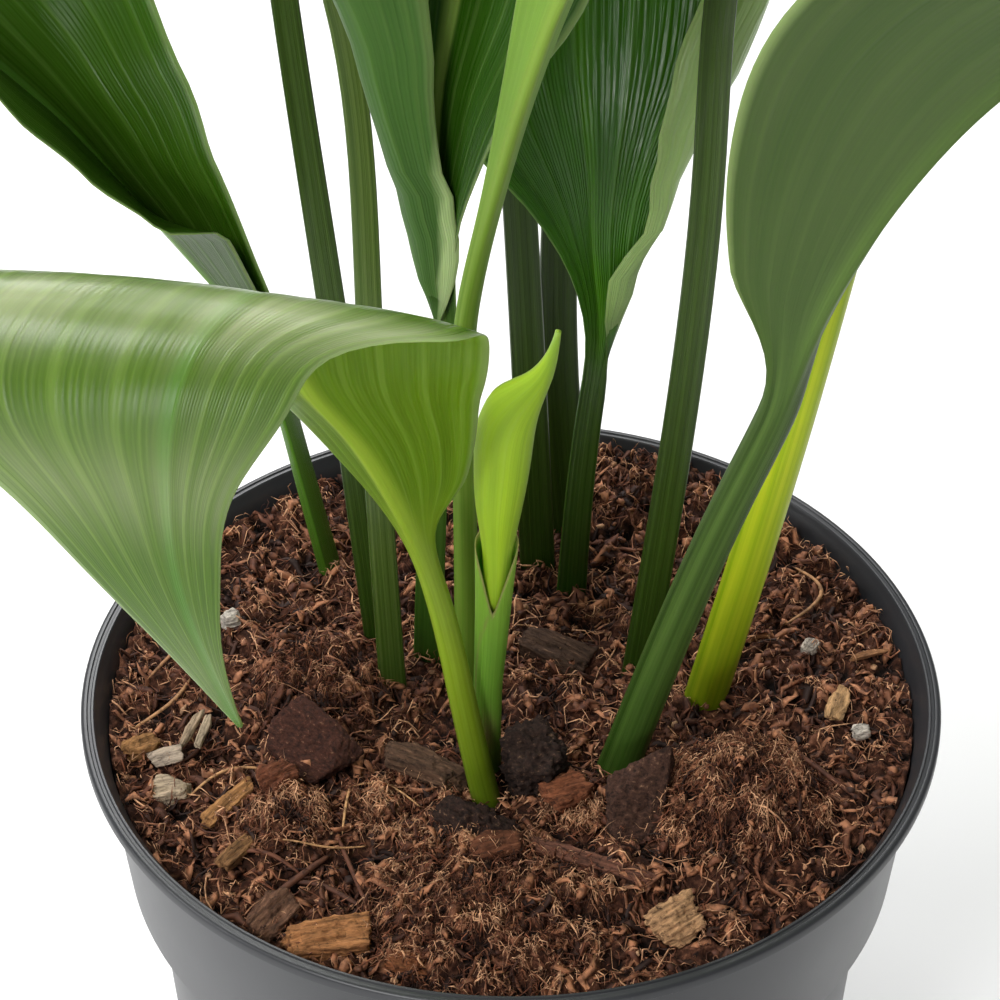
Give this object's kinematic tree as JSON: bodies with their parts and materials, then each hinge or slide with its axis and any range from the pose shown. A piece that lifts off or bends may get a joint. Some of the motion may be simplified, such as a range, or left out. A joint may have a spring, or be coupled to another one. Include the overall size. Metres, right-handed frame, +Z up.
{
  "type": "potted house plant",
  "caption": "Cast iron plant with broad arching leaves on long stalks, standing in coir and bark mix in a round black nursery pot.",
  "frame": {"origin": "centre of the pot's base, on the surface that the pot stands on", "axes": "+Z up along the pot's axis, -Y towards the side that the picture shows"},
  "size_m": [0.6706, 0.5266, 0.6356],
  "materials": {
    "pot_plastic": "satin injection-moulded black polypropylene",
    "potting_mix": "loose reddish brown coir fibre and peat",
    "rootstock": "pale fleshy rhizome with ring scars",
    "leaf_dark": "leathery dark green leaf with fine parallel veins and a waxy sheen",
    "leaf_light": "younger light green leaf with fine parallel veins",
    "sheath": "thin papery leaf sheath",
    "bark": "rough brown bark",
    "cork": "crumbly tan cork and wood",
    "wood_chip": "raw split wood"
  },
  "bodies": {
    "root": {"pot": "pot_plastic", "soil": "potting_mix", "rootstock_left": "rootstock", "rootstock_right": "rootstock", "leaf_front_drooping": "leaf_dark", "leaf_left_arching": "leaf_dark", "leaf_back_left": "leaf_dark", "leaf_left_tall": "leaf_dark", "leaf_centre_curled": "leaf_dark", "leaf_centre_young": "leaf_light", "leaf_centre_folded": "leaf_dark", "leaf_back_centre": "leaf_dark", "leaf_back_right": "leaf_dark", "leaf_right_tall": "leaf_dark", "leaf_right_broad": "leaf_dark", "leaf_right_low": "leaf_light", "sprout_rolled_leaf": "leaf_light", "sprout_sheath": "sheath", "bark_red": "bark", "bark_stick": "bark", "bark_dark_front": "bark", "bark_dark_round": "bark", "bark_slab": "bark", "bark_back": "bark", "bark_left_rim": "bark", "cork_left": "cork", "cork_front": "cork", "cork_right": "cork", "wood_chip_pale": "wood_chip", "wood_sliver_left": "wood_chip", "wood_sliver_right": "wood_chip", "twig_front": "bark"}
  },
  "joints": []
}
